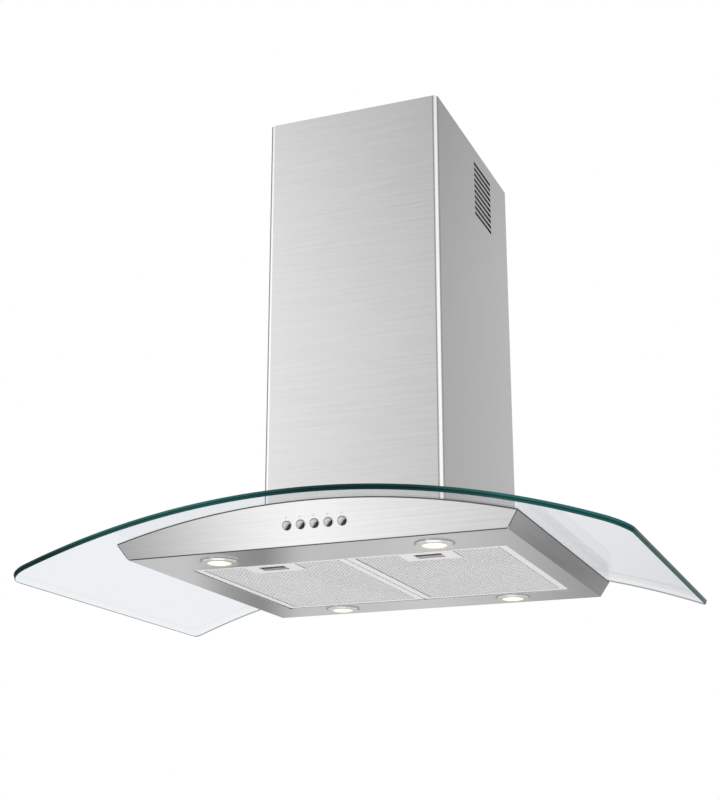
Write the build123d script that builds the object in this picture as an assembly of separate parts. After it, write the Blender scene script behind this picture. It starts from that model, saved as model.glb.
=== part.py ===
from build123d import *
import math
import os

# A wall hung kitchen hood with a curved glass canopy.  Millimetres, X to the right,
# Y towards the wall and Z up.  Pieces are drawn with y = 0 on the wall and z = 0 on the
# canopy's underside, and are then lowered by datum_height, so that the origin is on the
# back panel's wall face.

# ---- driving dimensions ----------------------------------------------------------------
datum_height = 28.0  # underside to the origin

sheet = 1.0  # steel sheet of the canopy
seam = 0.3  # gap left at a seam between two sheets
front_seam = 1.0  # front panel to the edges of the sheets behind it
seat_gap = 0.3  # what lies on its seat without touching it
running = 0.05  # radial play of a pin or shaft

body_width = 560.0  # across the underside
side_lean = 35.0  # degrees that each side leans outwards
front_lean = 16.0  # degrees that the front panel leans forwards
arch_rise = 60.0  # underside to the glass, on the centre line

glass_width = 900.0
glass_depth = 588.0
glass_overhang = 55.0  # glass's front edge to the body's lower front edge
glass_thickness = 8.0
glass_radius = 1217.0  # of the glass's lower face
glass_front_corner = 35.0
glass_rear_corner = 11.0
notch_side_gap = 7.0  # blower box to the notch in the glass
notch_front_gap = 10.0
notch_corner = 8.0
gasket_thickness = 2.0
gasket_width = 11.0
gasket_setback = 0.6

front_corner = 6.0  # rounding of the front panel's lower corners

button_count = 5
button_pitch = 20.4
button_row_x = 11.5
button_height = 29.0  # up the front panel
button_radius = 5.9
button_proud = 5.0
button_skirt = 6.0  # part of the cap behind the panel's face
button_travel = 3.0
button_edge = 1.2
stem_radius = 3.5
stem_length = 14.0
bezel_gap = 0.3
bezel_wall = 0.5
bezel_rim = 1.1
bezel_proud = 0.6
bezel_depth = 3.0
housing_margin = 11.0  # switch housing beyond the outer buttons
housing_height = 26.0
housing_depth = 25.0

filter_width = 237.0
filter_front_border = 102.0  # body's lower front edge to the filters
filter_thickness = 9.0
filter_gap = 2.5  # between the two filters
filter_shift = 9.0  # the pair's middle to the right of the hood's
filter_rear = 79.0  # wall to the filters
filter_clearance = 1.5  # to the pan's opening
filter_border = 11.0
filter_sheet = 1.0
mesh_clearance = 0.1
lip_height = 9.0
tongue_width = 30.0
tongue_length = 9.0
tongue_thickness = 1.2
tongue_inset = 26.0  # filter's side to its rear tongue

latch_plate_width = 80.0
latch_plate_depth = 52.0
latch_plate_thickness = 1.2
latch_slot_width = 41.0
latch_slot_depth = 26.0
latch_slot_setback = 14.5  # filter's front to the slot
finger_gap = 13.0  # slot's front to the latch's bar
latch_width = 44.0
latch_depth = 7.0
latch_tab_width = 40.0
latch_bolt_width = 16.0
latch_bolt_thickness = 2.0
latch_bolt_rise = 3.7  # filter's underside to the bolt
latch_travel = 5.0

lamp_front_x = 162.0
lamp_front_inset = 53.5  # body's lower front edge to the front lamps
lamp_rear_x = 148.0
lamp_rear_inset = 48.5  # wall to the rear lamps
lamp_flange_radius = 28.0
lamp_lens_radius = 17.4
lamp_cup_radius = 24.4
lamp_drop = 3.4  # how far the ring hangs below the pan
lamp_lens_seat = 1.8  # ring's ledge, below the pan, that the lens lies on
lamp_neck_height = 8.0
lamp_cup_height = 20.0
lamp_wall = 1.0
bulb_radius = 5.0
bulb_length = 14.0

chimney_width = 286.0
chimney_depth = 379.0
chimney_top = 738.0  # above the underside
chimney_bend = 8.0  # outer radius of the front corners
chimney_return = 12.0  # flange along the wall
chimney_return_top = 50.0  # below the chimney's top
cover_gap = 0.6  # between the two covers
inner_cover_drop = 4.0  # below the outer cover's top
inner_cover_setback = 1.4  # from the wall
inner_cover_travel = 300.0

vent_count = 10
vent_pitch = 10.0
vent_height = 5.8
vent_length = 92.0
vent_rear = 95.0  # wall to the slots
vent_top = 25.5  # chimney's top to the first slot
screen_thickness = 1.0  # dark screens behind the inner cover's slots
screen_margin = 7.0  # a screen beyond its slots

blower_setback = 65.0  # chimney's front to the blower box's front
blower_top = 285.0
plate_thickness = 2.5
plate_bottom = 95.0
plate_margin = 5.0  # plate's top below the blower box's
wall_hole_radius = 4.5
wall_hole_inset = 9.4  # hanging plate's side to its holes
wall_hole_low = 120.0
wall_hole_high = 262.0
keyhole_height = 222.0
keyhole_radius = 6.0
keyhole_slot = 5.0
keyhole_rise = 12.0

bracket_thickness = 1.5
bracket_height = 28.0
bracket_low = 64.0
screw_radius = 2.0
screw_head_radius = 3.8
screw_head_height = 2.4

ceiling_bracket_height = 26.0
ceiling_bracket_drop = 12.0  # below the outer cover's top
ceiling_bracket_arm = 45.0
ceiling_hole_radius = 3.5
ceiling_hole_inset = 51.4  # inner cover's side to the bracket's holes

blower_axis_y = 140.0  # from the wall
blower_axis_z = 165.0
scroll_radius = 80.0
scroll_step = 8.0  # growth of the scroll in each quarter turn
scroll_width = 104.0
scroll_wall = 2.0
tongue_angle = 100.0  # degrees, where the scroll meets its outlet
inlet_radius = 54.0
inlet_lip = 3.0
impeller_radius = 70.0
impeller_width = 88.0
impeller_disc = 65.0  # radius of the disc that carries the blades
disc_thickness = 3.0
rim_thickness = 2.0  # rings at the blades' ends
rim_width = 8.0
hub_radius = 12.0
hub_length = 10.0
blade_count = 24
blade_thickness = 1.4
blade_root = 57.0  # radius at a blade's inner edge
blade_setback = 1.0  # impeller's radius to a blade's outer edge
blade_bow = 3.0  # how far a blade's bend stands forward
shaft_radius = 4.0
motor_radius = 42.0
motor_length = 58.0
motor_gap = 6.0  # impeller's disc to the motor
motor_ring = 4.0
motor_arms = 3
arm_width = 12.0
arm_overlap = 8.0

collar_radius = 75.0
collar_wall = 3.0
collar_height = 60.0
collar_flange = 90.0
collar_y = 195.0  # from the wall
collar_screw_radius = 84.0  # of the circle that the screws stand on
collar_screws = 4
flap_height = 20.0  # of the flaps' pin above the blower box
flap_thickness = 1.5
ledge_width = 5.0  # ledge that the closed flaps rest on
ledge_height = 2.0
flap_clearance = 1.0
flap_pin_radius = 2.0
knuckle_radius = 4.0
knuckle_length = 30.0
knuckle_gap = 0.5

terminal_depth = 28.0
terminal_gap = 4.4  # to the inner cover
terminal_length = 64.0
terminal_height = 52.0
terminal_y = 170.0  # from the wall, to its middle
terminal_z = 175.0
gland_radius = 9.0
gland_height = 12.0
gland_bore = 4.5
capacitor_radius = 15.0
capacitor_length = 52.0
capacitor_inset = 28.0  # blower box's side to the capacitor's axis
capacitor_z = 200.0
transformer_width = 60.0
transformer_depth = 50.0
transformer_height = 26.0
transformer_x = 98.0
transformer_inset = 60.0  # body's lower front edge to its middle

bolt_side_inset = 12.0  # notch's side to the bolts
bolt_front_inset = 30.0  # notch's front to the front bolts
bolt_rear_inset = 40.0  # glass's rear edge to the rear bolts
bolt_radius = 3.0
bolt_head_radius = 5.5
bolt_head_height = 3.5
bolt_tail = 2.0
nut_height = 5.0
nut_flats = 10.0
glass_hole_radius = 5.0
grommet_radius = 9.0
grommet_flange = 1.2
grommet_play = 0.1

# ---- derived places --------------------------------------------------------------------
half_body = body_width / 2
body_depth = glass_depth - glass_overhang  # wall to the lower front edge
side_slope = math.tan(math.radians(side_lean))
side_wall = sheet / math.cos(math.radians(side_lean))
arch_centre = arch_rise - glass_radius
rim_radius = glass_radius - gasket_thickness  # top of the canopy's sheets
far = 2 * glass_depth

front_plane = Plane(
    origin=(0, -body_depth, 0),
    x_dir=(1, 0, 0),
    z_dir=(0, -math.cos(math.radians(front_lean)), -math.sin(math.radians(front_lean))),
)

filter_front = body_depth - filter_front_border
filter_bottom = sheet + seat_gap
filter_top = filter_bottom + filter_thickness
bolt_bottom = filter_bottom + latch_bolt_rise
bolt_top = bolt_bottom + latch_bolt_thickness
bar_setback = latch_slot_setback + finger_gap  # filter's front to the latch's bar
opening_half = filter_gap / 2 + filter_width + filter_clearance
opening_front = filter_front + filter_clearance
opening_rear = filter_rear - filter_clearance

half_chimney = chimney_width / 2
inner_half = half_chimney - sheet - cover_gap
inner_front = chimney_depth - sheet - cover_gap
inner_top = chimney_top - inner_cover_drop
bracket_top = bracket_low + bracket_height
half_blower = inner_half - sheet - terminal_gap - terminal_depth
blower_front = chimney_depth - blower_setback
half_notch = half_blower + notch_side_gap
notch_depth = blower_front + notch_front_gap
half_plate = half_chimney - sheet - chimney_return - cover_gap
wall_hole_x = half_plate - wall_hole_inset
chimney_foot = glass_radius + glass_thickness + seat_gap

pieces = {}


# ---- helpers ---------------------------------------------------------------------------
def along_y(face, front, rear):
    """The face, drawn in X and Z, carried from y = -front to y = -rear."""
    return extrude(Plane.XZ.offset(rear) * face, amount=front - rear)


def block(x0, x1, front, rear, z0, z1):
    """A box between two X, two distances from the wall and two heights."""
    middle = ((x0 + x1) / 2, -(front + rear) / 2, (z0 + z1) / 2)
    return Pos(*middle) * Box(x1 - x0, front - rear, z1 - z0)


def disc(radius):
    """The circle of the arch with this radius, in X and Z."""
    return Pos(0, arch_centre) * Circle(radius)


def body_outline(inset):
    """The canopy's trapezoid in X and Z, with its sides moved in by inset."""
    low = half_body - inset
    high = low + side_slope * 2 * arch_rise
    points = [(-low, 0), (low, 0), (high, 2 * arch_rise), (-high, 2 * arch_rise)]
    return make_face(Polyline(*points, close=True))


def behind_front(distance):
    """All the space that lies this far or more behind the front panel's face."""
    return front_plane * Pos(0, 0, -distance - far / 2) * Box(2 * far, 2 * far, far)


def round_bar(radius, x0, x1, y, z):
    """A bar along X."""
    bar = Cylinder(radius, x1 - x0)
    return Pos((x0 + x1) / 2, -y, z) * Rot(0, 90, 0) * bar


def on_arch(x, y):
    """The place on the glass's lower face with its Z square to the glass."""
    angle = math.asin(x / glass_radius)
    height = arch_centre + glass_radius * math.cos(angle)
    return Location((x, -y, height), (0, math.degrees(angle), 0))


def screw(head_radius, head_height, shank_radius, shank_length):
    """A hexagon headed screw whose shank points down from z = 0."""
    head = extrude(RegularPolygon(head_radius, 6), amount=head_height)
    shank = Pos(0, 0, -shank_length / 2) * Cylinder(shank_radius, shank_length)
    return head + shank


# ---- canopy: glass, gasket and steel body ----------------------------------------------
def make_glass():
    half_angle = math.asin(glass_width / 2 / (glass_radius + glass_thickness))
    reach = glass_radius + 10 * glass_thickness
    wedge_points = [
        (0, arch_centre),
        (reach * math.sin(half_angle), arch_centre + reach * math.cos(half_angle)),
        (0, arch_centre + 2 * reach),
        (-reach * math.sin(half_angle), arch_centre + reach * math.cos(half_angle)),
    ]
    wedge = make_face(Polyline(*wedge_points, close=True))
    band = (disc(glass_radius + glass_thickness) - disc(glass_radius)) & wedge
    glass = along_y(band, glass_depth, 0)
    for place, radius in ((-glass_depth, glass_front_corner), (0, glass_rear_corner)):
        ends = glass.edges().filter_by(GeomType.LINE).filter_by_position(Axis.Y, place - sheet, place + sheet)
        corners = [e for e in ends if e.length < 2 * glass_thickness]
        glass = fillet(corners, radius)
    notch = Pos(0, -notch_depth / 2 + notch_corner) * RectangleRounded(
        2 * half_notch, notch_depth + 2 * notch_corner, notch_corner
    )
    glass -= extrude(notch, amount=far)
    for place in bolt_places():
        glass -= place * Cylinder(glass_hole_radius, 4 * glass_thickness)
    return glass


def make_gasket():
    band = disc(glass_radius) - disc(rim_radius)
    outer = along_y(band & body_outline(gasket_setback), far, gasket_setback)
    outer &= behind_front(gasket_setback)
    inset = gasket_setback + gasket_width
    inner = along_y(body_outline(inset), far, inset) & behind_front(inset)
    return outer - inner - block(-half_notch, half_notch, notch_depth, 0, 0, 2 * arch_rise)


def make_front_panel():
    top = 1.4 * arch_rise
    widen = side_slope * math.cos(math.radians(front_lean))
    points = [
        (-half_body - widen * seam, seam),
        (half_body + widen * seam, seam),
        (half_body + widen * top, top),
        (-half_body - widen * top, top),
    ]
    outline = make_face(Polyline(*points, close=True))
    lower = outline.vertices().sort_by(Axis.Y)[:2]
    outline = fillet(lower, front_corner)
    panel = extrude(front_plane * outline, amount=-sheet)
    panel &= along_y(disc(rim_radius), far, 0)
    for place in button_places():
        panel -= place * Cylinder(button_radius + bezel_gap + bezel_wall, 10 * sheet)
    return panel


def make_bottom_pan():
    half = half_body - side_wall
    front = body_depth - (sheet + front_seam) / math.cos(math.radians(front_lean))
    pan = block(-half, half, front, sheet, 0, sheet)
    left = filter_shift - opening_half
    right = filter_shift + opening_half
    lip_top = sheet + lip_height
    pan += block(left - sheet, right + sheet, opening_front + sheet, opening_rear - sheet, sheet, lip_top)
    pan -= block(left, right, opening_front, opening_rear, -sheet, 2 * lip_top)
    for x, y in lamp_places().values():
        pan -= Pos(x, -y, 0) * Cylinder(lamp_cup_radius + seam, 4 * sheet)
    slack = seat_gap + 2 * sheet
    for side in (-1, 1):
        for x in tongue_places():
            half_tongue = tongue_width / 2 + seam
            x0 = filter_shift + side * x - half_tongue
            x1 = filter_shift + side * x + half_tongue
            pan -= block(x0, x1, opening_rear, opening_rear - 2 * sheet, sheet, lip_top + slack)
    return pan


def make_side_panel(side):
    top = 2 * arch_rise
    points = [
        (half_body, 0),
        (half_body + side_slope * top, top),
        (half_body - side_wall + side_slope * top, top),
        (half_body - side_wall, 0),
    ]
    outline = make_face(Polyline(*points, close=True)) & disc(rim_radius)
    panel = along_y(outline, far, sheet) & behind_front(sheet + front_seam)
    return panel if side > 0 else mirror(panel, Plane.YZ)


def make_back_panel():
    return along_y(body_outline(0) & disc(rim_radius), sheet, 0)


def make_top_plate():
    band = (disc(rim_radius) - disc(rim_radius - sheet)) & body_outline(side_wall + running)
    plate = along_y(band, far, sheet + running) & behind_front(sheet + running)
    half = half_blower - 2 * sheet
    plate -= block(-half, half, blower_front - 2 * sheet, 4 * plate_thickness, 0, 2 * arch_rise)
    for place in bolt_places():
        plate -= place * Cylinder(bolt_radius + seam, 4 * glass_thickness)
    return plate


# ---- glass bolts -----------------------------------------------------------------------
def bolt_places():
    x = half_notch + bolt_side_inset
    rows = (notch_depth + bolt_front_inset, bolt_rear_inset)
    return [on_arch(side * x, y) for side in (-1, 1) for y in rows]


def make_grommet():
    high = glass_thickness + grommet_play + grommet_flange
    sleeve = high + gasket_thickness
    neck = Pos(0, 0, high - sleeve / 2) * Cylinder(glass_hole_radius - grommet_play, sleeve)
    upper = Pos(0, 0, high - grommet_flange / 2) * Cylinder(grommet_radius, grommet_flange)
    return neck + upper - Cylinder(bolt_radius + grommet_play, 6 * glass_thickness)


def make_bolt():
    head_seat = glass_thickness + grommet_flange + grommet_play
    under = gasket_thickness + sheet
    shank = head_seat + under + nut_height + bolt_tail
    bolt = Pos(0, 0, head_seat) * screw(bolt_head_radius, bolt_head_height, bolt_radius, shank)
    hexagon = RegularPolygon(nut_flats / 2, 6, major_radius=False) - Circle(bolt_radius + running)
    nut = Pos(0, 0, -under - nut_height) * extrude(hexagon, amount=nut_height - running)
    return Compound([bolt, nut])


# ---- controls --------------------------------------------------------------------------
def button_places():
    first = button_row_x - button_pitch * (button_count - 1) / 2
    return [
        front_plane.location * Pos(first + i * button_pitch, button_height, 0) for i in range(button_count)
    ]


def make_button():
    length = button_skirt + button_proud
    cap = Pos(0, 0, (button_proud - button_skirt) / 2) * Cylinder(button_radius, length)
    cap = chamfer(cap.edges().group_by(Axis.Z)[-1], button_edge, 2 * button_edge)
    stem = Pos(0, 0, -button_skirt - stem_length / 2) * Cylinder(stem_radius, stem_length)
    return cap + stem


def make_bezel():
    bore = button_radius + bezel_gap
    tube = Pos(0, 0, -bezel_depth / 2) * Cylinder(bore + bezel_wall - running, bezel_depth)
    rim = Pos(0, 0, bezel_proud / 2) * Cylinder(bore + bezel_rim, bezel_proud)
    return tube + rim - Cylinder(bore, 4 * bezel_depth)


def make_switch_housing():
    length = button_pitch * (button_count - 1) + 2 * housing_margin
    middle = front_plane.location * Pos(button_row_x, button_height, -sheet - housing_depth / 2)
    housing = middle * Box(length, housing_height, housing_depth)
    pocket = button_skirt + button_travel + seat_gap
    deep = button_skirt + stem_length + button_travel + seat_gap
    for place in button_places():
        housing -= place * Pos(0, 0, -pocket / 2) * Cylinder(
            button_radius + bezel_gap + bezel_wall + running, pocket
        )
        housing -= place * Pos(0, 0, -deep / 2) * Cylinder(stem_radius + 2 * running, deep)
    return housing


# ---- lamps -----------------------------------------------------------------------------
def lamp_places():
    front = body_depth - lamp_front_inset
    return {
        "front_left": (-lamp_front_x, front),
        "front_right": (lamp_front_x, front),
        "rear_left": (-lamp_rear_x, lamp_rear_inset),
        "rear_right": (lamp_rear_x, lamp_rear_inset),
    }


def make_lamp_bezel():
    bore = lamp_cup_radius - lamp_wall
    points = [
        (lamp_flange_radius, 0),
        (lamp_flange_radius, -lamp_wall),
        (lamp_flange_radius - 1.6 * lamp_wall, -lamp_drop),
        (lamp_lens_radius + seat_gap, -lamp_drop),
        (lamp_lens_radius + seat_gap, -lamp_lens_seat),
        (bore, -lamp_lens_seat),
        (bore, lamp_neck_height),
        (lamp_cup_radius, lamp_neck_height),
        (lamp_cup_radius, 0),
    ]
    return revolve(Plane.XZ * make_face(Polyline(*points, close=True)), Axis.Z)


def make_lamp_lens():
    rim = lamp_cup_radius - lamp_wall - running
    points = [
        (0, -lamp_lens_seat + lamp_wall),
        (0, -lamp_drop + 0.3 * lamp_wall),
        (lamp_lens_radius, -lamp_drop + 0.9 * lamp_wall),
        (lamp_lens_radius, -lamp_lens_seat),
        (rim, -lamp_lens_seat),
        (rim, -lamp_lens_seat + lamp_wall),
    ]
    return revolve(Plane.XZ * make_face(Polyline(*points, close=True)), Axis.Z)


def make_lamp_cup():
    middle = lamp_neck_height + lamp_cup_height / 2
    cup = Pos(0, 0, middle) * Cylinder(lamp_cup_radius, lamp_cup_height)
    cup = chamfer(cup.edges().group_by(Axis.Z)[-1], 3 * lamp_wall)
    hollow = lamp_cup_height - lamp_wall
    cup -= Pos(0, 0, lamp_neck_height + hollow / 2) * Cylinder(lamp_cup_radius - 3 * lamp_wall, hollow)
    return cup


def make_bulb():
    ceiling = lamp_neck_height + lamp_cup_height - lamp_wall
    base_height = ceiling - bulb_length
    base = Pos(0, 0, ceiling - base_height / 4) * Box(1.6 * bulb_radius, 2.4 * bulb_radius, base_height / 2)
    low = ceiling - base_height / 2 - bulb_length
    capsule = Pos(0, 0, low + bulb_length / 2) * Cylinder(bulb_radius, bulb_length)
    capsule = chamfer(capsule.edges().group_by(Axis.Z)[0], 0.4 * bulb_radius)
    return base + capsule


# ---- grease filters --------------------------------------------------------------------
def tongue_places():
    """Distances of the rear tongues' middles from the middle of the pair of filters."""
    inner = filter_gap / 2 + tongue_inset + tongue_width / 2
    outer = filter_gap / 2 + filter_width - tongue_inset - tongue_width / 2
    return (inner, outer)


def filter_block(inset, z0, z1):
    """A box inside the right filter's outline, moved in by inset, with the pair about x = 0."""
    x0 = filter_gap / 2 + inset
    x1 = filter_gap / 2 + filter_width - inset
    return block(x0, x1, filter_front - inset, filter_rear + inset, z0, z1)


def latch_block(width, front, depth, z0, z1):
    """A box centred on the right filter, which starts front behind its front wall."""
    middle = (filter_gap + filter_width) / 2
    start = filter_front - front
    return block(middle - width / 2, middle + width / 2, start, start - depth, z0, z1)


def make_filter_frame():
    frame = filter_block(0, filter_bottom, filter_top)
    frame = fillet(frame.edges().filter_by(Axis.Z), 2 * filter_sheet)
    frame -= filter_block(filter_sheet, filter_bottom + filter_sheet, filter_top - filter_sheet)
    frame -= filter_block(filter_border, 0, 2 * filter_top)
    for x in tongue_places():
        x0 = x - tongue_width / 2
        x1 = x + tongue_width / 2
        rear = filter_rear - tongue_length
        frame += block(x0, x1, filter_rear, rear, filter_bottom, filter_bottom + tongue_thickness)
    hole = latch_bolt_width + 2 * seam
    frame -= latch_block(hole, -filter_sheet, 3 * filter_sheet, bolt_bottom - seam, bolt_top + seam)
    return frame


def make_filter_mesh():
    low = filter_bottom + filter_sheet + mesh_clearance
    high = filter_top - filter_sheet - mesh_clearance
    mesh = filter_block(filter_sheet + mesh_clearance, low, high)
    pocket = bar_setback + latch_depth + latch_travel + 2 * seam
    return mesh - latch_block(latch_width + 2 * seam, 0, pocket, 0, bolt_top + seam)


def make_latch_plate():
    low = filter_bottom - latch_plate_thickness
    plate = latch_block(latch_plate_width, filter_sheet, latch_plate_depth, low, filter_bottom)
    plate = fillet(plate.edges().filter_by(Axis.Z), 2 * filter_sheet)
    return plate - latch_block(latch_slot_width, latch_slot_setback, latch_slot_depth, 0, filter_top)


def make_latch():
    low = filter_bottom + seam
    latch = latch_block(latch_width, bar_setback, latch_depth, low, bolt_top)
    reach = bar_setback + filter_clearance - seat_gap
    latch += latch_block(latch_bolt_width, seat_gap - filter_clearance, reach, bolt_bottom, bolt_top)
    tab_low = filter_bottom - latch_plate_thickness + seam
    return latch + latch_block(latch_tab_width, bar_setback, latch_depth, tab_low, low)


# ---- chimney ---------------------------------------------------------------------------
def u_cover(half, front, wall_gap, bend, z0, z1):
    """A cover of bent sheet that is open towards the wall."""
    outer = [(-half, -wall_gap), (-half, -front), (half, -front), (half, -wall_gap)]
    face = make_face(Polyline(*outer, close=True))
    face = fillet(face.vertices().sort_by(Axis.Y)[:2], bend)
    inner = [
        (-half + sheet, far),
        (-half + sheet, -front + sheet),
        (half - sheet, -front + sheet),
        (half - sheet, far),
    ]
    hollow = make_face(Polyline(*inner, close=True))
    hollow = fillet(hollow.vertices().sort_by(Axis.Y)[:2], bend - sheet)
    return extrude(Pos(0, 0, z0) * (face - hollow), amount=z1 - z0)


def cut_vents(cover, half):
    for i in range(vent_count):
        middle = chimney_top - vent_top - vent_height / 2 - i * vent_pitch
        slot = block(
            -half - sheet,
            half + sheet,
            vent_rear + vent_length,
            vent_rear,
            middle - vent_height / 2,
            middle + vent_height / 2,
        )
        cover -= slot
    return cover


def vent_screen(side):
    """The thin screen on the inner cover's inside that closes the slots of one side."""
    face = inner_half - sheet
    ends = sorted((side * face, side * (face - screen_thickness)))
    front = vent_rear + vent_length + screen_margin
    top = chimney_top - vent_top + screen_margin
    low = chimney_top - vent_top - vent_height - (vent_count - 1) * vent_pitch - screen_margin
    return block(*ends, front, vent_rear - screen_margin, low, top)


def make_chimney_cover():
    cover = u_cover(half_chimney, chimney_depth, 0, chimney_bend, 0, chimney_top)
    flange_top = chimney_top - chimney_return_top
    for side in (-1, 1):
        edge = side * (half_chimney - sheet)
        inner = edge - side * chimney_return
        cover += block(min(edge, inner), max(edge, inner), sheet, 0, 0, flange_top)
    cover -= along_y(disc(chimney_foot), far, -sheet)
    cover = cut_vents(cover, half_chimney)
    for x in cover_screw_places():
        cover -= Pos(x, 0, bracket_low + bracket_height / 2) * Rot(90, 0, 0) * Cylinder(
            screw_radius + running, 4 * sheet
        )
    return cover


def make_inner_cover():
    bend = chimney_bend - sheet - cover_gap
    low = bracket_top + seat_gap
    cover = u_cover(inner_half, inner_front, inner_cover_setback, bend, low, inner_top)
    cover = cut_vents(cover, inner_half)
    for side in (-1, 1):
        cover += vent_screen(side)
    for x, y, z in bracket_screw_places():
        cover -= Pos(x, y, z) * Rot(0, 90, 0) * Cylinder(screw_radius + running, 6 * sheet)
    return cover


def make_ceiling_bracket():
    top = chimney_top - ceiling_bracket_drop
    low = top - ceiling_bracket_height
    half = inner_half - sheet - running
    bracket = block(-half, half, ceiling_bracket_arm, 0, low, top)
    inside = half - bracket_thickness
    bracket -= block(-inside, inside, far, bracket_thickness, 0, far)
    for side in (-1, 1):
        place = Pos(side * (inner_half - ceiling_hole_inset), 0, (low + top) / 2)
        bracket -= place * Rot(90, 0, 0) * Cylinder(ceiling_hole_radius, 4 * bracket_thickness)
    for x, y, z in bracket_screw_places():
        bracket -= Pos(x, y, z) * Rot(0, 90, 0) * Cylinder(screw_radius + running, 8 * sheet)
    return bracket


def bracket_screw_places():
    middle = chimney_top - ceiling_bracket_drop - ceiling_bracket_height / 2
    return [
        (side * inner_half, -ceiling_bracket_arm * share, middle)
        for side in (-1, 1)
        for share in (0.35, 0.8)
    ]


def make_bracket_screws():
    length = bracket_thickness + sheet
    solids = []
    for x, y, z in bracket_screw_places():
        side = 1 if x > 0 else -1
        seat = x - side * (length + 2 * running)
        shank = screw(screw_head_radius, screw_head_height, screw_radius, length)
        solids.append(Pos(seat, y, z) * Rot(0, -90 * side, 0) * shank)
    return Compound(solids)


def make_cover_bracket():
    half = half_chimney - sheet - running
    bracket = block(-half, half, sheet + bracket_thickness, sheet, bracket_low, bracket_top)
    for x in cover_screw_places():
        bracket -= Pos(x, 0, bracket_low + bracket_height / 2) * Rot(90, 0, 0) * Cylinder(
            screw_radius + running, 8 * sheet
        )
    return bracket


def cover_screw_places():
    x = half_chimney - sheet - chimney_return / 2
    return (-x, x)


def make_cover_screws():
    seat = -(sheet + bracket_thickness)
    shank = screw(screw_head_radius, screw_head_height, screw_radius, sheet + bracket_thickness)
    height = bracket_low + bracket_height / 2
    return Compound([Pos(x, seat, height) * Rot(90, 0, 0) * shank for x in cover_screw_places()])


# ---- blower ----------------------------------------------------------------------------
def make_blower_box():
    half = half_blower
    rear = plate_thickness
    box = block(-half, half, blower_front, rear, 0, blower_top)
    box -= block(-half + sheet, half - sheet, blower_front - sheet, rear + sheet, -sheet, blower_top - sheet)
    box -= along_y(disc(rim_radius + running), far, 0)
    outlet = scroll_outlet(-scroll_wall)
    box -= block(*outlet, blower_top - 4 * sheet, blower_top + sheet)
    return box


def make_hanging_plate():
    plate = block(-half_plate, half_plate, plate_thickness, 0, plate_bottom, blower_top - plate_margin)
    plate = fillet(plate.edges().filter_by(Axis.Y), 3 * plate_thickness)
    for side in (-1, 1):
        for z in (wall_hole_low, wall_hole_high):
            hole = Cylinder(wall_hole_radius, 4 * plate_thickness)
            plate -= Pos(side * wall_hole_x, 0, z) * Rot(90, 0, 0) * hole
        entry = Pos(side * wall_hole_x, keyhole_height) * Circle(keyhole_radius)
        slot_middle = keyhole_height + keyhole_rise / 2
        slot = Pos(side * wall_hole_x, slot_middle) * Rectangle(keyhole_slot, keyhole_rise)
        end = Pos(side * wall_hole_x, keyhole_height + keyhole_rise) * Circle(keyhole_slot / 2)
        plate -= along_y(entry + slot + end, 2 * plate_thickness, -plate_thickness)
    return plate


def scroll_outline():
    """The scroll's outer outline in Y and Z, as quarter arcs whose radius grows by one step."""
    start = math.radians(tongue_angle)
    first = (scroll_radius * math.cos(start), scroll_radius * math.sin(start))
    diagonal = math.sqrt(0.5)
    mid = math.radians(tongue_angle / 2)
    arcs = ThreePointArc(
        first, (scroll_radius * math.cos(mid), scroll_radius * math.sin(mid)), (scroll_radius, 0)
    )
    r2 = scroll_radius + scroll_step
    r3 = r2 + scroll_step
    c2 = -scroll_step
    low = (c2, -r2)
    arcs += ThreePointArc((scroll_radius, 0), (c2 + r2 * diagonal, -r2 * diagonal), low)
    left = (c2 - r3, scroll_step)
    arcs += ThreePointArc(low, (c2 - r3 * diagonal, scroll_step - r3 * diagonal), left)
    top = blower_top - sheet - running - blower_axis_z
    arcs += Polyline(left, (left[0], top), (first[0], top), first)
    return make_face(arcs)


def scroll_outlet(inset):
    """X limits and distances from the wall of the scroll's outlet, grown by inset."""
    left = scroll_radius + 3 * scroll_step + inset
    right = -scroll_radius * math.cos(math.radians(tongue_angle)) - inset
    half = scroll_width / 2 + inset
    return (-half, half, blower_axis_y + left, blower_axis_y + right)


blower_axis = Location((0, -blower_axis_y, blower_axis_z))


def across_x(face, x0, x1):
    """The face, drawn in Y and Z about the blower's axis, carried from x0 to x1."""
    return blower_axis * extrude(Plane.YZ.offset(x0) * face, amount=x1 - x0)


def make_volute():
    half = scroll_width / 2
    outline = scroll_outline()
    volute = across_x(outline, -half, half)
    inside = half - scroll_wall
    volute -= across_x(offset(outline, -scroll_wall), -inside, inside)
    x0, x1, front, rear = scroll_outlet(-scroll_wall)
    neck = blower_axis_z + scroll_radius + scroll_step
    volute -= block(x0, x1, front, rear, neck, 2 * blower_top)
    lip = inlet_radius + inlet_lip
    for side in (-1, 1):
        face = Circle(lip)
        ends = sorted((side * half, side * (half + inlet_lip)))
        ring = across_x(face, *ends)
        outer = ring.edges().sort_by(Axis.X)[-1 if side > 0 else 0]
        volute += chamfer(outer, inlet_lip / 2)
    volute -= across_x(Circle(inlet_radius), -2 * half, 2 * half)
    return volute


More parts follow.
